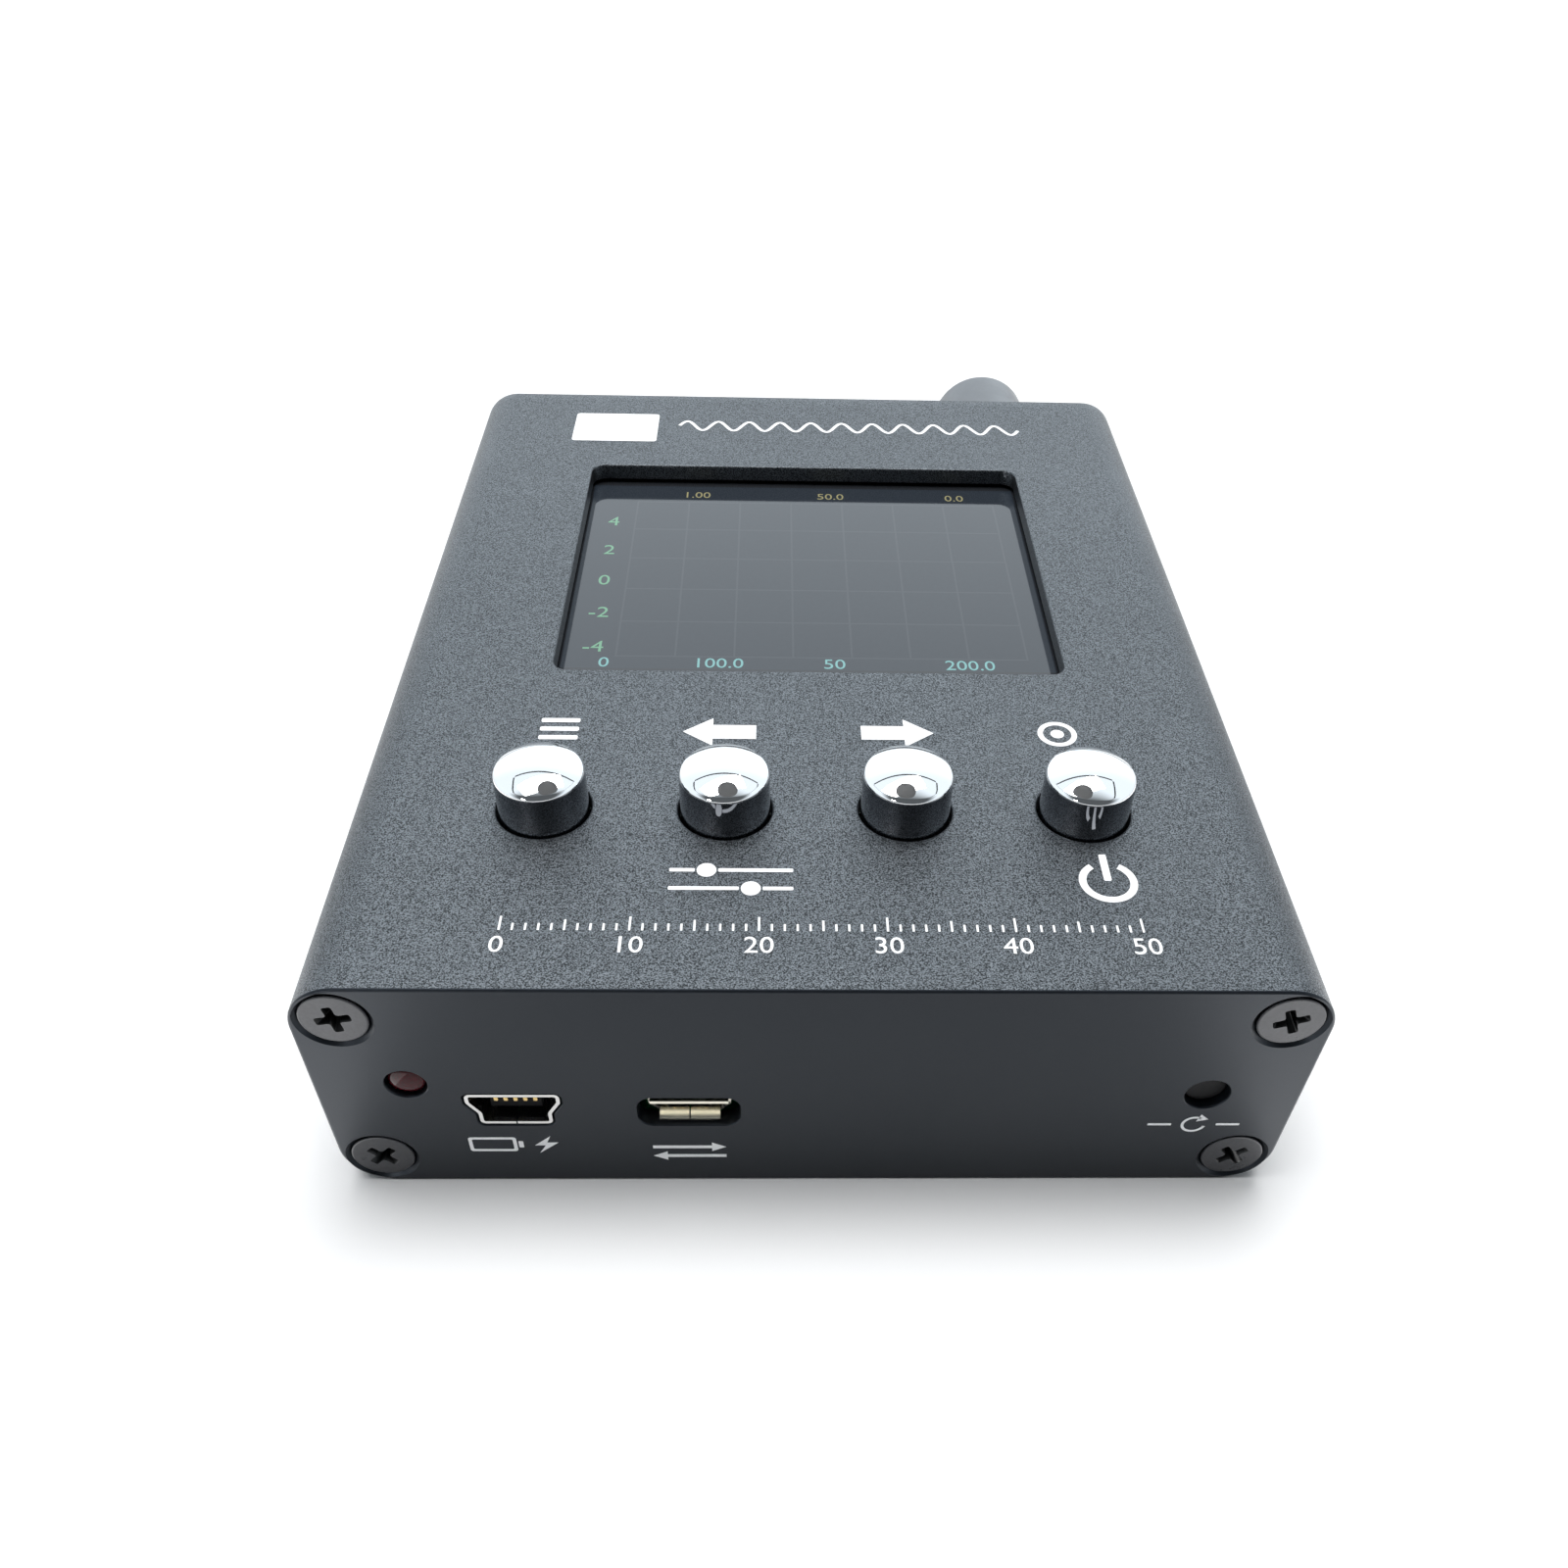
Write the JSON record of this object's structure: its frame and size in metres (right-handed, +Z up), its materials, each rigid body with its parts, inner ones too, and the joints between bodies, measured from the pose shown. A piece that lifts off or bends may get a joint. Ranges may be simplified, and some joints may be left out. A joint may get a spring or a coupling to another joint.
{
  "type": "antenna analyzer",
  "caption": "Handheld antenna analyzer: flat aluminium case with a recessed screen, a row of plated keys, front sockets and a capped coaxial port at the rear.",
  "frame": {"origin": "centre of the overall box at its underside, where the case rests", "axes": "+X to the user's right, +Y from the front plate to the capped port at the rear, +Z up through the screen"},
  "size_m": [0.08, 0.115, 0.03],
  "materials": {
    "anodised_case": "bead-blasted dark grey anodising",
    "anodised_plate": "smooth black-grey anodising",
    "dark_screws": "black oxide, slightly glossy",
    "circuit_board": "green solder mask",
    "black_moulding": "fine matt moulding",
    "white_moulding": "off-white moulding",
    "display_glass": "glossy polarised panel, lit grey-blue",
    "foam_pad": "closed-cell foam",
    "flex_film": "amber film",
    "stamped_steel": "bright stamped sheet",
    "nickel_shell": "bright nickel plating",
    "pale_gold_shell": "bright warm plating",
    "gold_contact": "gold flash",
    "red_lens": "tinted clear lens",
    "tinned_wire": "tinned wire",
    "gold_plated_brass": "gold-plated brass",
    "white_insulator": "waxy white insulator",
    "nickel_washer": "nickel-plated",
    "dark_cap": "smooth dark grey push-on cap",
    "pouch_film": "silver laminate film",
    "lead_insulation": "soft insulated wire",
    "chrome_key": "mirror plating"
  },
  "bodies": {
    "case": {"case_tube": "anodised_case", "front_plate": "anodised_plate", "rear_plate": "anodised_plate", "front_plate_screws": "dark_screws", "rear_plate_screws": "dark_screws", "lower_board": "circuit_board", "upper_board": "circuit_board", "display_board": "circuit_board", "board_header": "black_moulding", "display_header": "black_moulding", "battery_plug": "white_moulding", "battery_socket": "white_moulding", "display_glass": "display_glass", "display_tray": "white_moulding", "display_pad": "foam_pad", "display_flex": "flex_film", "switch_bases": "black_moulding", "switch_covers": "stamped_steel", "mini_socket_shell": "nickel_shell", "mini_socket_insert": "black_moulding", "mini_socket_contacts": "gold_contact", "micro_socket_shell": "pale_gold_shell", "micro_socket_insert": "black_moulding", "micro_socket_contacts": "gold_contact", "charge_lamp": "red_lens", "charge_lamp_leads": "tinned_wire", "reset_switch_housing": "black_moulding", "reset_switch_cover": "stamped_steel", "rf_port_body": "gold_plated_brass", "rf_port_insulator": "white_insulator", "rf_port_contact": "gold_contact", "rf_port_washer": "nickel_washer", "rf_port_nut": "nickel_washer", "battery_cell": "pouch_film", "battery_leads": "lead_insulation", "main_chip": "black_moulding", "charger_chip": "black_moulding", "rf_shield": "stamped_steel"},
    "key_menu": {"key_cap_menu": "chrome_key", "key_plunger_menu": "black_moulding"},
    "key_left": {"key_cap_left": "chrome_key", "key_plunger_left": "black_moulding"},
    "key_right": {"key_cap_right": "chrome_key", "key_plunger_right": "black_moulding"},
    "key_select": {"key_cap_select": "chrome_key", "key_plunger_select": "black_moulding"},
    "reset_button": {"reset_plunger": "black_moulding"},
    "port_cap": {"rf_port_cap": "dark_cap"}
  },
  "joints": [
    {"name": "key_menu_press", "type": "slide", "parent": "case", "child": "key_menu", "axis": [0, 0, -1], "range_m": [0, 0.0003], "stiffness_N_per_m": 5000},
    {"name": "key_left_press", "type": "slide", "parent": "case", "child": "key_left", "axis": [0, 0, -1], "range_m": [0, 0.0003], "stiffness_N_per_m": 5000},
    {"name": "key_right_press", "type": "slide", "parent": "case", "child": "key_right", "axis": [0, 0, -1], "range_m": [0, 0.0003], "stiffness_N_per_m": 5000},
    {"name": "key_select_press", "type": "slide", "parent": "case", "child": "key_select", "axis": [0, 0, -1], "range_m": [0, 0.0003], "stiffness_N_per_m": 5000},
    {"name": "reset_press", "type": "slide", "parent": "case", "child": "reset_button", "axis": [0, 1, 0], "range_m": [0, 0.00025], "stiffness_N_per_m": 5000},
    {"name": "port_cap_pull", "type": "slide", "parent": "case", "child": "port_cap", "axis": [0, 1, 0], "range_m": [0, 0.014]}
  ]
}
